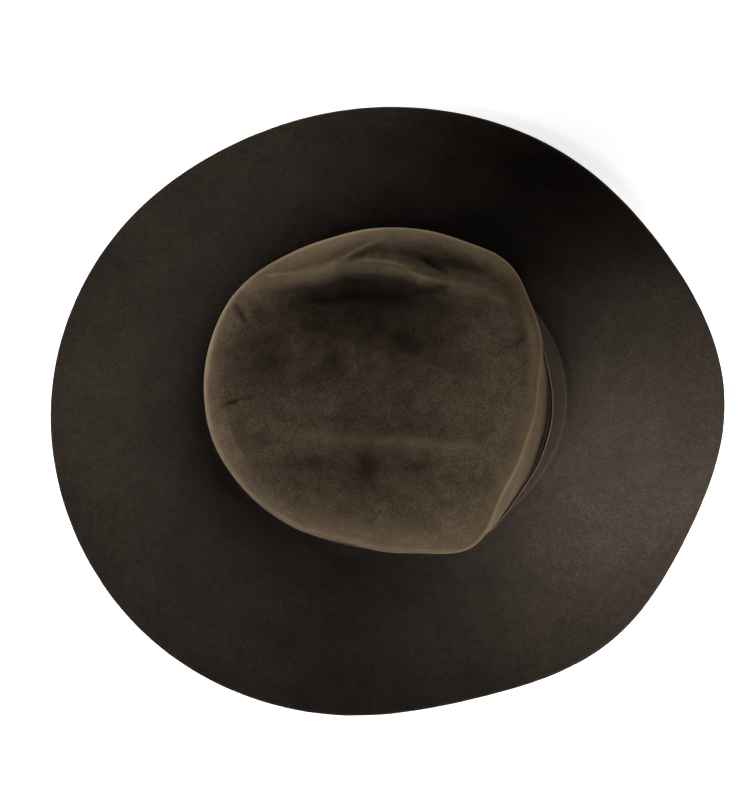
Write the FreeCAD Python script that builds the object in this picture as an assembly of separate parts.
import FreeCAD, Part
import os
from math import acos, cos, degrees, exp, hypot, pi, radians, sin, sqrt

# Western felt hat with ribbon, bow, sweatband and lining, millimetres.
# +X is the front of the hat, +Y the wearer's left, +Z up.
# The origin is the centre of the head opening, on the plane the brim rests on.
# Angles run round the hat from the front towards the left.
# A depth is measured into the hat from the crown's outer face; negative depths lie outside it.

V = FreeCAD.Vector
UP = V(0, 0, 1)

# ---------------------------------------------------------------- sizes of the felt
FELT = 2.4                                   # felt thickness
FOOT_A, FOOT_B = 104.0, 86.3                 # half length and half width of the crown's foot
FOOT_X, FOOT_Y = -2.2, 1.2                   # centre of the foot oval
CROWN_H = 104.0                              # height of the crown's rim
RIM_ROUND = 15.0                             # leg of the rounding between crown top and wall
BREAK_H, BREAK_OUT = 8.0, 9.0                # curve between wall and brim: height and reach
BREAK_TOP = FELT + BREAK_H
FLAT_IN, FLAT_OUT = 11.0, 52.0               # flat part of the brim, out from the foot

# Outlines in plan about the origin: mean radius, then (cosine, sine) parts of each harmonic
RIM = [82.24, (-4.81, 1.92), (1.17, 0.58), (-3.99, 1.79), (-1.4, 1.42), (0.52, 0.61),
       (0.36, -0.5), (0.35, -0.87), (0.01, -0.08), (-0.2, 0.12), (-0.17, 0.43), (0.0, 0.24),
       (0.1, -0.18), (-0.06, -0.26), (-0.09, -0.19), (-0.02, 0.0), (-0.03, 0.0), (-0.02, 0.02)]
BRIM = [184.78, (-8.49, -4.61), (9.96, 1.24), (0.78, -1.42), (0.8, -0.65), (0.7, 0.8),
        (0.86, 0.54), (0.69, 0.16), (0.31, -0.04), (-0.02, -0.11)]

# Left ridge of the crown top: y as a polynomial in x / RIDGE_UNIT, highest power first
RIDGE_UNIT = 50.0
RIDGE_X = (-70.0, 64.0)                      # the polynomial is held constant beyond these
RIDGE = [-6.31, -4.661, 15.86, 9.023, -18.489, -9.233, 59.124]

# Bumps and dents of the crown top:
# height, x centre, x width, x power, y centre, y width, y power, drift of y centre per x
TOP_BUMPS = [
    (-3.0, -2, 58, 4, 8, 44, 4, 0),          # broad dish
    (-3.2, 33, 19, 2, 61, 6, 2, -0.15),      # dent at the front left
    (1.8, 0, 46, 4, -24.5, 6, 2, -0.05),     # ridge on the right
    (-2.0, -16, 34, 2, -38, 9, 2, 0),        # hollow on the right
]
SLANT_X, SLANT_Y = -28, 58.2                 # start of a short slanting ridge, rear left
SLANT_DX, SLANT_DY = 24.2, 13.4              # its direction

# Bumps round the hat: height, angle, angular width
WALL_LOW = [(-4.0, 0.30, 0.28), (2.6, -0.92, 0.22), (0.9, -0.40, 0.15)]
WALL_LOW_Z = 28                              # height of the wall's low bumps
WALL_LOW_BELOW, WALL_LOW_ABOVE = 12.0, 24.0  # how far they fade down and up
# Dents high on the wall, front right and front left: one bump, height on the wall, fade
WALL_HIGH = [((-2.5, -0.80, 0.30), 78, 24), ((-3.0, 0.72, 0.30), 80, 22)]
WALL_BULGE = 1.2                             # outward swell of the wall at mid height
CURL_BASE, CURL_SIDES = 4.5, 3.5             # brim edge lift all round, and extra at the sides
CURL = [(6.0, 0.75, 0.38), (6.5, -0.78, 0.30), (-2.0, 0.0, 0.35), (-1.5, pi, 0.5)]
CURL_POWER = 2.2

# Grid of the outer face: stations round the hat, steps along each part of the profile
STATIONS = 96
N_TOP, N_RIM, N_WALL, N_BREAK, N_FLAT, N_CURL = 16, 7, 12, 6, 5, 10
ROW_WALL = N_TOP + N_RIM                     # last row of the rim rounding
ROW_FLAT = ROW_WALL + N_WALL + N_BREAK + 1   # first row of the flat
ROW_CURL = ROW_FLAT + N_FLAT                 # last row of the flat
ROW_END = ROW_CURL + N_CURL                  # brim edge

# ---------------------------------------------------------------- sizes of the trim
BAND_Z0, BAND_Z1 = 8.0, 27.5                 # ribbon, bottom and top edge
BAND_GAP, BAND_T = 0.3, 0.6                  # ribbon clearance off the felt, thickness
BAND_SLIT = radians(0.6)                     # half the gap between the ribbon's ends
BAND_LEVELS = [BAND_Z0, 9.0, 10.4, 12.0, 15.0, 21.0, BAND_Z1]
TACK_ANGLES = (20, 60, 130, 170, 215, 255, 295, 335)     # degrees

BOW_ANGLE = pi / 2                           # the bow sits on the left side
BOW_HALF = 30.0                              # half length of the loop
TAIL_FRONT, TAIL_REAR = 12.0, 44.0           # reach of the tail from the bow's middle
TAIL_Z0, TAIL_Z1 = 9.0, 25.0
TAIL_IN, TAIL_OUT = 1.72, 2.15               # tail faces, out from the felt
NOTCH_DEEP, NOTCH_PAST = 11.0, 0.6           # length of the notch, overshoot past the tail's edges
LOOP_IN, LOOP_OUT, LOOP_T = 2.40, 5.90, 0.5  # loop faces, out from the felt, and thickness
LOOP_Z, LOOP_H = 8.6, 17.0
KEEPER_W = 10.0                              # width of the keeper round the bow
KEEPER_IN, KEEPER_OUT = 1.25, 6.6            # keeper faces, out from the felt
KEEPER_Z0, KEEPER_Z1 = 7.6, 26.8

SWEAT_Z0, SWEAT_Z1 = 1.2, 57.0               # sweatband, bottom and top edge
SWEAT_D, SWEAT_T = 4.0, 0.9                  # depth of its outer face, thickness
SWEAT_IN = SWEAT_D + SWEAT_T                 # depth of its inner face
SWEAT_LEVELS = [SWEAT_Z0, 4.0, 7.0, 10.0, 13.0, 22.0, 34.0, 46.0, SWEAT_Z1]
SWEAT_SLIT = radians(0.18)                   # half the gap of the butt joint at the rear
HEM_IN = 1.5                                 # how far the lower hem stands in to clear the tape
THREAD_OFF = 0.3                             # thread centre off the face it is sewn on
REED_D, REED_Z, REED_R = 3.92, 3.4, 0.9      # reed centre depth, height, radius
TAPE_R, TAPE_T = 1.25, 0.27                  # tape tunnel outer radius, tape thickness
TAPE_SLOT = 0.05                             # half the gap between the tape's two flaps
TAPE_TOP = 9.0                               # top of the flaps
SEAM_TAPE_D, SEAM_TAPE_T = 3.35, 0.3         # tape at the rear joint: depth, thickness
SEAM_TAPE_LEVELS = [14.0, 26.0, 38.0, 50.0]
REAR_BOW_Z, REAR_BOW_H = 6.5, 6.0            # loops of the bow at the rear
REAR_BOW_Y = 7.0                             # centre of each loop
REAR_BOW_A, REAR_BOW_B, REAR_BOW_T = 6.3, 1.6, 0.4       # loop half axes, thickness

LINING_D, LINING_T = 3.0, 0.25               # lining side depth and thickness
LINING_LEVELS = [16.0, 24.0, 36.0, 50.0, 64.0, 78.0]
TIP_D, TIP_T = 4.0, 0.35                     # lining tip depth and thickness
TIP_ROW = N_TOP + 2                          # grid row of its edge
PIPE_D, PIPE_R = 4.3, 0.8                    # piping depth and radius
PIPE_ROW = N_TOP + 4
FILM_D, FILM_T = 4.65, 0.25                  # clear film depth and thickness
FILM_ROW = 12
TAG_W, TAG_H, TAG_T = 14.0, 18.0, 0.5        # size tag
TAG_ANGLE = radians(152.0)
TAG_LEAN = 7.0                               # degrees, following the leather
TAG_Z, TAG_D = 7.0, 7.3                      # hinge line height, depth of the outer face

SPAN_POINTS = 97                             # points along an open strip round the hat


# ---------------------------------------------------------------- shape of the felt
def outline(harmonics, t):
    radius = harmonics[0]
    for k, (c, s) in enumerate(harmonics[1:], 1):
        radius += c * cos(k * t) + s * sin(k * t)
    return radius


def bell(offset, width, power=2):
    return exp(-(offset / width) ** power)


def angle_bell(t, at, width):
    return bell((t - at + pi) % (2 * pi) - pi, width)


def angle_bumps(t, bumps):
    return sum(height * angle_bell(t, at, width) for height, at, width in bumps)


def clamp(x, low, high):
    return min(max(x, low), high)


def smooth(x, start, end):
    """Soft step from 0 at start to 1 at end."""
    u = clamp((x - start) / (end - start), 0.0, 1.0)
    return u * u * (3 - 2 * u)


def bend(first, corner, last, u):
    """Quadratic curve from first to last, pulled towards corner; numbers or vectors."""
    return first * (1 - u) ** 2 + corner * (2 * u * (1 - u)) + last * u ** 2


def spread(start, end, count):
    return [start + (end - start) * i / (count - 1) for i in range(count)]


def foot(t):
    """Distance from the origin to the foot oval, the root of a quadratic in that distance."""
    c, s = cos(t), sin(t)
    square = c * c / FOOT_A ** 2 + s * s / FOOT_B ** 2
    linear = -2 * c * FOOT_X / FOOT_A ** 2 - 2 * s * FOOT_Y / FOOT_B ** 2
    const = FOOT_X ** 2 / FOOT_A ** 2 + FOOT_Y ** 2 / FOOT_B ** 2 - 1
    return (-linear + sqrt(linear * linear - 4 * square * const)) / (2 * square)


def ridge_y(x):
    y = 0.0
    for factor in RIDGE:
        y = y * (x / RIDGE_UNIT) + factor
    return y


def top_z(x, y):
    """Height of the crown top: nearly flat, with ridges, hollows and soft dents."""
    z = CROWN_H - 0.02 * x                   # falls slightly towards the front
    for height, x0, x_wide, x_power, y0, y_wide, y_power, drift in TOP_BUMPS:
        across = y - y0 - drift * (x - x0)
        z += height * bell(x - x0, x_wide, x_power) * bell(across, y_wide, y_power)
    z += 0.8 * bell(y + 56, 14)              # slight rise along the right edge

    left = y - ridge_y(clamp(x, *RIDGE_X))   # distance to the left of the ridge
    reach = bell(x + 2, 62, 6)               # fades ridge and hollow out at front and rear
    z += (4.0 * bell(x + 2, 42) + 0.8) * reach * bell(left, 6)
    # hollow along the ridge's right side, and a shallower one further right
    hollow = smooth(-left, 0, 13) * (1 - smooth(-left, 15, 44))
    z -= (8.0 * bell(x + 6, 38) + 1.0) * reach * hollow
    z -= 1.2 * bell(x + 5, 60, 4) * bell(left + 30, 22)
    z -= 1.2 * smooth(left, 4, 18)           # step down on the ridge's left

    # slanting ridge: distance across and along its line
    length = hypot(SLANT_DX, SLANT_DY)
    across = ((y - SLANT_Y) * SLANT_DX - (x - SLANT_X) * SLANT_DY) / length
    along = ((x - SLANT_X) * SLANT_DX + (y - SLANT_Y) * SLANT_DY) / length
    z += 1.6 * bell(across, 2.6) * smooth(along, -6, 6) * (1 - smooth(along, 20, 34))
    return z


class Station:
    """The hat's outer face at one angle."""

    def __init__(self, t):
        self.t = t
        self.c, self.s = cos(t), sin(t)
        self.rim = outline(RIM, t)
        self.foot = foot(t)
        self.brim = outline(BRIM, t)
        self.rim_z = self.top(self.rim)

    def top(self, r):
        return top_z(r * self.c, r * self.s)

    def point(self, r, z):
        return V(r * self.c, r * self.s, z)

    def wall(self, z):
        """Radius of the crown wall at height z, without the flare at its foot."""
        t = self.t
        u = clamp((z - FELT) / (self.rim_z - FELT), 0.0, 1.2)
        power = 1.35 + angle_bell(t, -0.15, 0.75)
        inward = 1 - (1 if u < 1 else -1) * abs(1 - u) ** power
        r = self.foot + (self.rim - self.foot) * inward
        r += WALL_BULGE * sin(pi * clamp(u, 0.0, 1.0)) * (1 - 0.9 * angle_bell(t, -0.1, 0.8))
        for bump, at_z, fade in WALL_HIGH:
            r += angle_bumps(t, [bump]) * bell(z - at_z, fade)
        fade = WALL_LOW_BELOW if z < WALL_LOW_Z else WALL_LOW_ABOVE
        return r + angle_bumps(t, WALL_LOW) * bell(z - WALL_LOW_Z, fade)

    def flared_wall(self, z):
        """Radius of the outer face, with the flare of the brim break."""
        if z >= BREAK_TOP:
            return self.wall(z)
        u = 1 - sqrt(max(z - FELT, 0.0) / BREAK_H)
        low = self.wall(FELT)
        return bend(self.wall(BREAK_TOP), low, low + BREAK_OUT, u)

    def curl(self, u):
        """Lift of the brim at fraction u from the flat to the edge."""
        lift = CURL_BASE + CURL_SIDES * (0.5 - 0.5 * cos(2 * self.t))
        return (lift + angle_bumps(self.t, CURL)) * u ** CURL_POWER

    def profile(self):
        """Points of the outer face from the crown's centre to the brim edge."""
        top_r = self.rim - RIM_ROUND
        wall_z = self.rim_z - RIM_ROUND
        low = self.wall(FELT)
        flat0, flat1 = self.foot + FLAT_IN, self.foot + FLAT_OUT
        points = []
        for i in range(N_TOP):
            r = top_r * i / N_TOP
            points.append(self.point(r, self.top(r)))
        rounding = (self.point(top_r, self.top(top_r)), self.point(self.rim, self.rim_z),
                    self.point(self.wall(wall_z), wall_z))
        points += [bend(*rounding, i / N_RIM) for i in range(N_RIM + 1)]
        for i in range(1, N_WALL):
            z = wall_z + (BREAK_TOP - wall_z) * i / N_WALL
            points.append(self.point(self.wall(z), z))
        flare = (self.point(self.wall(BREAK_TOP), BREAK_TOP), self.point(low, FELT),
                 self.point(low + BREAK_OUT, FELT))
        points += [bend(*flare, i / N_BREAK) for i in range(N_BREAK + 1)]
        points += [self.point(r, FELT) for r in spread(flat0, flat1, N_FLAT + 1)]
        for i in range(1, N_CURL + 1):
            u = i / N_CURL
            points.append(self.point(flat1 + (self.brim - flat1) * u, FELT + self.curl(u)))
        return points


STATION_ANGLES = [2 * pi * i / STATIONS for i in range(STATIONS)]
GRID = [Station(t).profile() for t in STATION_ANGLES]      # GRID[station][row]


def centre_normal(step=0.5):
    normal = V(-(top_z(step, 0) - top_z(-step, 0)) / (2 * step),
               -(top_z(0, step) - top_z(0, -step)) / (2 * step), 1)
    normal.normalize()
    return normal


def grid_normals(step=1e-3):
    """Outward normals of the outer face, in the grid's order."""
    normals = []
    for t, points in zip(STATION_ANGLES, GRID):
        before, after = Station(t - step).profile(), Station(t + step).profile()
        column = [centre_normal()]
        for j in range(1, ROW_END + 1):
            if ROW_FLAT <= j <= ROW_CURL:
                column.append(UP)
                continue
            along = points[min(j + 1, ROW_END)] - points[j - 1]
            normal = along.cross(after[j] - before[j])
            normal.normalize()
            if normal.z < 0 and normal.dot(V(cos(t), sin(t), 0)) < 0:
                normal = normal * -1
            column.append(normal)
        normals.append(column)
    return normals


NORMALS = grid_normals()


def row(j, depth):
    """Closed row j of the grid, moved inwards from the outer face."""
    return [points[j] - normals[j] * depth for points, normals in zip(GRID, NORMALS)]


def level_point(t, z, depth, flared=False):
    """Point at height z, moved level into the wall so that it lies about depth behind it."""
    def radius(station, height):
        if flared:
            return station.flared_wall(height)
        return station.wall(max(height, FELT))

    step, half_rise = 1e-3, 0.5
    here, before, after = Station(t), Station(t - step), Station(t + step)
    tangent = after.point(radius(after, z), 0) - before.point(radius(before, z), 0)
    tangent.normalize()
    # lean of the wall, so that the depth is measured square to the felt
    below = radius(here, max(z - half_rise, FELT))
    above = radius(here, max(z + half_rise, FELT + 2 * half_rise))
    stretch = min(sqrt(1 + ((above - below) / (2 * half_rise)) ** 2), 1.25)
    return here.point(radius(here, z), z) - V(tangent.y, -tangent.x, 0) * (depth * stretch)


def level(angles, z, depth, flared=False):
    return [level_point(t, z, depth, flared) for t in angles]


def ring(z, depth):
    return level(STATION_ANGLES, z, depth)


def frame_at(t, z, depth, flared=False):
    """Point on the wall with its level tangent (towards growing angle) and outward normal."""
    point = level_point(t, z, depth, flared)
    ahead = level_point(t + 1e-3, z, depth, flared)
    tangent = V(ahead.x - point.x, ahead.y - point.y, 0)
    tangent.normalize()
    return point, tangent, V(tangent.y, -tangent.x, 0)


# ---------------------------------------------------------------- surface helpers
def spline_poles(points, closed):
    """Poles whose cubic curve passes close to the given points."""
    n = len(points)
    poles = [(points[i] * 8 - points[i - 1] - points[(i + 1) % n]) * (1.0 / 6) for i in range(n)]
    if not closed:
        poles[0], poles[-1] = points[0], points[-1]
    return poles


def knots(count, degree, closed=False):
    """Multiplicities and uniform knots for count poles."""
    if closed:
        mults = [1] * (count + 1)
    else:
        mults = [degree + 1] + [1] * (count - degree - 1) + [degree + 1]
    return mults, [float(i) for i in range(len(mults))]


def spline_face(poles, closed, u_degree):
    v_degree = min(3, len(poles[0]) - 1)
    u_mults, u_knots = knots(len(poles), u_degree, closed)
    v_mults, v_knots = knots(len(poles[0]), v_degree)
    surface = Part.BSplineSurface()
    surface.buildFromPolesMultsKnots(poles, u_mults, v_mults, u_knots, v_knots,
                                     closed, False, u_degree, v_degree)
    return surface.toShape()


def rows_face(rows, closed=True):
    """Face through rows that each run round the hat."""
    pole_rows = [spline_poles(r, closed) for r in rows]
    return spline_face([list(column) for column in zip(*pole_rows)], closed, 3)


def spline_edge(points, closed=False):
    mults, knot_values = knots(len(points), 3, closed)
    curve = Part.BSplineCurve()
    curve.buildFromPolesMultsKnots(spline_poles(points, closed), mults, knot_values, closed, 3)
    return curve.toShape()


def holed_face(outer_edges, inner_edges):
    return Part.Face([Part.Wire(outer_edges), Part.Wire(inner_edges)],
                     "Part::FaceMakerBullseye")


def sewn(faces):
    shell = Part.makeShell(faces)
    shell.sewShape()
    if shell.ShapeType != "Shell":
        shells = shell.Shells
        if len(shells) != 1:
            raise RuntimeError("%d shells after sewing" % len(shells))
        shell = shells[0]
    solid = Part.makeSolid(shell)
    if solid.Volume < 0:
        solid.reverse()
    return solid


def ring_solid(patches):
    """Solid from patches of closed rows; each patch starts on the last row of the one before."""
    return sewn([rows_face(patch) for patch in patches])


def skin_patches(side_a, side_b):
    """Patches round the section between two faces given by their rows."""
    return [side_a, [side_a[-1], side_b[-1]], side_b[::-1], [side_b[0], side_a[0]]]


def strip_solid(side_a, side_b):
    """Solid between two faces of open rows; ruled faces close the ends."""
    faces = [rows_face(patch, closed=False) for patch in skin_patches(side_a, side_b)]
    for end in (0, -1):
        faces.append(spline_face([[r[end] for r in side_a], [r[end] for r in side_b]], False, 1))
    return sewn(faces)


def disc_solid(last_row, depth, thickness):
    """Sheet under the crown top, from its centre out to a grid row."""
    upper = [row(j, depth) for j in range(last_row + 1)]
    lower = [row(j, depth + thickness) for j in range(last_row + 1)]
    return ring_solid([upper, [upper[-1], lower[-1]], lower])


def rod(centre, direction, length, radius):
    axis = V(direction)
    axis.normalize()
    return Part.makeCylinder(radius, length, centre - axis * (length / 2), axis)


def wall_stitch(t, z, depth, length, radius, rise=0.0):
    """Thread along the wall; rise is its climb per unit of level run."""
    point, tangent, _ = frame_at(t, z, depth)
    return rod(point, V(tangent.x, tangent.y, rise), length, radius)


def stitch_angles(count):
    return [2 * pi * (i + 0.5) / count for i in range(count)]


def box(x0, x1, y0, y1, z0, z1):
    return Part.makeBox(x1 - x0, y1 - y0, z1 - z0, V(x0, y0, z0))


# ---------------------------------------------------------------- felt and ribbon
def felt_body():
    inner_rows = [row(j, FELT) for j in range(ROW_FLAT + 1)]
    under_rows = [row(j, FELT) for j in range(ROW_CURL, ROW_END + 1)]
    outer = rows_face([row(j, 0.0) for j in range(ROW_END + 1)])
    inner = rows_face(inner_rows)
    under = rows_face(under_rows)
    edge = rows_face([row(ROW_END, 0.0), row(ROW_END, FELT)])
    # flat underside the brim rests on
    rest = holed_face([spline_edge(under_rows[0], True)], [spline_edge(inner_rows[-1], True)])
    return sewn([outer, inner, rest, under, edge])


def hatband_ribbon():
    """Ribbon round the crown, its ends meeting behind the bow."""
    angles = spread(BOW_ANGLE + BAND_SLIT, BOW_ANGLE + 2 * pi - BAND_SLIT, SPAN_POINTS)
    faces = [[level(angles, z, -offset, flared=True) for z in BAND_LEVELS]
             for offset in (BAND_GAP, BAND_GAP + BAND_T)]
    return strip_solid(*faces)


def hatband_tacks():
    """Short upright stitches along the ribbon's top edge."""
    depth = -(BAND_GAP + BAND_T + 0.42)
    tacks = []
    for angle in TACK_ANGLES:
        low = level_point(radians(angle), BAND_Z1 - 2.2, depth)
        high = level_point(radians(angle), BAND_Z1 - 0.2, depth)
        tacks.append(rod((low + high) * 0.5, high - low, 1.8, 0.2))
    return Part.makeCompound(tacks)


# ---------------------------------------------------------------- bow on the left side
# distance from the origin, which turns lengths along the bow into angles
BOW_RADIUS = level_point(BOW_ANGLE, BAND_Z0, 0.0, flared=True).Length


def bow_curve(start, end, count, offset, z):
    """Points at height z, offset outside the crown; start and end are lengths from the middle."""
    points = []
    for t in spread(BOW_ANGLE + start / BOW_RADIUS, BOW_ANGLE + end / BOW_RADIUS, count):
        point, _, outward = frame_at(t, BAND_Z0, 0.0, flared=True)
        point += outward * offset
        points.append(V(point.x, point.y, z))
    return points


def bow_tail():
    """Tail lying on the ribbon, running to the rear, its end cut to a notch."""
    inner = bow_curve(-TAIL_FRONT, TAIL_REAR, 13, TAIL_IN, TAIL_Z0)
    outer = bow_curve(-TAIL_FRONT, TAIL_REAR, 13, TAIL_OUT, TAIL_Z0)
    wire = Part.Wire([spline_edge(inner), Part.LineSegment(inner[-1], outer[-1]).toShape(),
                      spline_edge(outer[::-1]), Part.LineSegment(outer[0], inner[0]).toShape()])
    tail = Part.Face(wire).extrude(UP * (TAIL_Z1 - TAIL_Z0))

    end, rearward, outward = frame_at(BOW_ANGLE + TAIL_REAR / BOW_RADIUS, BAND_Z0, -1.5)
    base = end + rearward * 3.0 - outward * 3.0
    tip = base - rearward * NOTCH_DEEP
    top = V(base.x, base.y, TAIL_Z1 + NOTCH_PAST)
    bottom = V(base.x, base.y, TAIL_Z0 - NOTCH_PAST)
    middle = V(tip.x, tip.y, (TAIL_Z0 + TAIL_Z1) / 2)
    notch = Part.Face(Part.makePolygon([top, bottom, middle, top])).extrude(outward * 8.0)
    return tail.cut(notch)


def loop_outline(inset):
    """Edges of the loop's round-ended outline, inset from its outer surface."""
    inner_offset, outer_offset = LOOP_IN + inset, LOOP_OUT - inset
    inner = bow_curve(-BOW_HALF, BOW_HALF, 15, inner_offset, 0)
    outer = bow_curve(BOW_HALF, -BOW_HALF, 15, outer_offset, 0)
    radius = (outer_offset - inner_offset) / 2

    def cap(start, end, direction):
        direction.normalize()
        return Part.Arc(start, (start + end) * 0.5 + direction * radius, end).toShape()

    return [spline_edge(inner), cap(inner[-1], outer[0], inner[-1] - inner[-2]),
            spline_edge(outer), cap(outer[-1], inner[0], inner[0] - inner[1])]


def bow_loop():
    """Flattened loop of ribbon, standing on edge."""
    loop = holed_face(loop_outline(0.0), loop_outline(LOOP_T)).extrude(UP * LOOP_H)
    loop.translate(UP * LOOP_Z)
    return loop


def bow_keeper():
    """Short band wrapped round the middle of loop and tail."""
    wall_y = max(level_point(BOW_ANGLE + run / BOW_RADIUS, BAND_Z0, 0.0, flared=True).y
                 for run in (-6.0, -3.0, 0.0, 3.0, 6.0))
    x, y0, y1 = KEEPER_W / 2, wall_y + KEEPER_IN, wall_y + KEEPER_OUT
    opening = box(-x - 1, x + 1, y0 + 0.25, y1 - 0.35, KEEPER_Z0 + 0.35, KEEPER_Z1 - 0.4)
    return box(-x, x, y0, y1, KEEPER_Z0, KEEPER_Z1).cut(opening)


# ---------------------------------------------------------------- sweatband
def sweatband():
    """Leather band inside the crown, butt-jointed at the rear."""
    angles = spread(pi + SWEAT_SLIT, 3 * pi - SWEAT_SLIT, SPAN_POINTS)
    faces = [[level(angles, z, depth + HEM_IN * (1 - smooth(z, 5.5, 13.0)))
              for z in SWEAT_LEVELS] for depth in (SWEAT_D, SWEAT_IN)]
    return strip_solid(*faces)


def arc_rings(radius, start, end, count):
    """Rings on a round section about the reed's centre; angles in degrees."""
    return [ring(REED_Z + radius * sin(radians(a)), REED_D + radius * cos(radians(a)))
            for a in spread(start, end, count)]


def sweatband_reed():
    """Cord inside the fold of the tape."""
    return ring_solid([arc_rings(REED_R, 0, 180, 9), arc_rings(REED_R, 180, 360, 9)])


def reed_tape():
    """Tape folded under the reed, both flaps standing up behind the leather."""
    outer_x, inner_x = TAPE_SLOT + TAPE_T, TAPE_SLOT
    inner_r = TAPE_R - TAPE_T
    outer_a = degrees(acos(outer_x / TAPE_R))
    inner_a = degrees(acos(inner_x / inner_r))
    outer = arc_rings(TAPE_R, 180 - outer_a, 360 + outer_a, 15)
    inner = arc_rings(inner_r, 360 + inner_a, 180 - inner_a, 15)
    # tops of the two flaps, in order of growing depth
    top_a, top_b, top_c, top_d = [ring(TAPE_TOP, REED_D + x)
                                  for x in (-outer_x, -inner_x, inner_x, outer_x)]
    return ring_solid([[top_a, outer[0]], outer, [outer[-1], top_d], [top_d, top_c],
                       [top_c, inner[0]], inner, [inner[-1], top_b], [top_b, top_a]])


def sweatband_topstitch():
    """Thread round the lower hem."""
    depth = SWEAT_IN + HEM_IN + THREAD_OFF
    return Part.makeCompound([wall_stitch(t, 4.6, depth, length=2.7, radius=0.2)
                              for t in stitch_angles(132)])


def attach_thread():
    """Zigzag thread that holds the tape to the felt."""
    return Part.makeCompound([
        wall_stitch(t, 7.6, 3.02, length=3.6, radius=0.18, rise=0.35 if i % 2 else -0.35)
        for i, t in enumerate(stitch_angles(96))])


def back_seam_thread():
    """Zigzag thread up the rear butt joint."""
    return Part.makeCompound([
        wall_stitch(pi, 15.5 + 2.7 * i, SWEAT_IN + THREAD_OFF, length=3.4, radius=0.2,
                    rise=0.55 if i % 2 else -0.55)
        for i in range(15)])


def back_seam_tape():
    """Tape behind the rear joint, between leather and felt."""
    angles = spread(pi - radians(4.0), pi + radians(4.0), 9)
    faces = [[level(angles, z, depth) for z in SEAM_TAPE_LEVELS]
             for depth in (SEAM_TAPE_D, SEAM_TAPE_D + SEAM_TAPE_T)]
    return strip_solid(*faces)


def sweatband_bow():
    """Little ribbon bow over the lower end of the rear joint."""
    x = level_point(pi, 9.0, SWEAT_IN + 1.9).x + 1.7
    loops = []
    for side in (-1, 1):
        outlines = []
        for inset in (0.0, REAR_BOW_T):
            ellipse = Part.Ellipse(V(x, side * REAR_BOW_Y, REAR_BOW_Z),
                                   REAR_BOW_A - inset, REAR_BOW_B - inset)
            ellipse.AngleXU = pi / 2
            outlines.append([ellipse.toShape()])
        loops.append(holed_face(*outlines).extrude(UP * REAR_BOW_H))
    knot = box(x - 1.9, x + 1.9, -1.7, 1.7, REAR_BOW_Z - 0.3, REAR_BOW_Z + REAR_BOW_H + 0.3)
    return loops[0].fuse(loops[1]).fuse(knot)


# ---------------------------------------------------------------- lining
def lining_side():
    """Lining up the wall and into the rim rounding."""
    faces = []
    for depth in (LINING_D, LINING_D + LINING_T):
        rows = [ring(z, depth) for z in LINING_LEVELS]
        rows += [row(j, depth) for j in (ROW_WALL, ROW_WALL - 1, ROW_WALL - 2)]
        faces.append(rows)
    return ring_solid(skin_patches(*faces))


def lining_tip():
    return disc_solid(TIP_ROW, TIP_D, TIP_T)


def lining_piping():
    """Round cord in the rim rounding."""
    frames = []
    for centre, points, normals in zip(row(PIPE_ROW, PIPE_D), GRID, NORMALS):
        along = points[PIPE_ROW + 1] - points[PIPE_ROW - 1]
        along.normalize()
        frames.append((centre, normals[PIPE_ROW], along))

    def half_rows(start, end):
        return [[centre + up * (PIPE_R * cos(a)) + along * (PIPE_R * sin(a))
                 for centre, up, along in frames] for a in spread(start, end, 9)]

    return ring_solid([half_rows(0, pi), half_rows(pi, 2 * pi)])


def tip_film():
    return disc_solid(FILM_ROW, FILM_D, FILM_T)


def film_thread():
    """Stitches round the film, one grid row in from its edge."""
    points = row(FILM_ROW - 1, FILM_D + FILM_T + THREAD_OFF)
    return Part.makeCompound([rod(points[i], points[i + 1] - points[i - 1], 3.0, 0.16)
                              for i in range(0, STATIONS, 2)])


def size_tag():
    """Size tag on the sweatband, leaning about its lower edge."""
    hinge, tangent, outward = frame_at(TAG_ANGLE, TAG_Z, TAG_D)
    tag = Part.makeBox(TAG_W, TAG_T, TAG_H, V(-TAG_W / 2, 0, 0))
    tag.rotate(V(0, 0, 0), V(1, 0, 0), -TAG_LEAN)
    # box x goes along the tangent, y towards the inside, z up
    placing = FreeCAD.Matrix(tangent.x, -outward.x, 0, hinge.x,
                             tangent.y, -outward.y, 0, hinge.y,
                             0, 0, 1, TAG_Z,
                             0, 0, 0, 1)
    return tag.transformed(placing)


PIECES = (felt_body, hatband_ribbon, bow_tail, bow_loop, bow_keeper, hatband_tacks,
          sweatband, sweatband_reed, reed_tape, sweatband_topstitch, attach_thread,
          back_seam_thread, back_seam_tape, sweatband_bow,
          lining_side, lining_tip, lining_piping, tip_film, film_thread, size_tag)

# each file is named after the function that builds its piece
os.makedirs("parts", exist_ok=True)
for piece in PIECES:
    piece().exportStep("parts/%s.step" % piece.__name__)
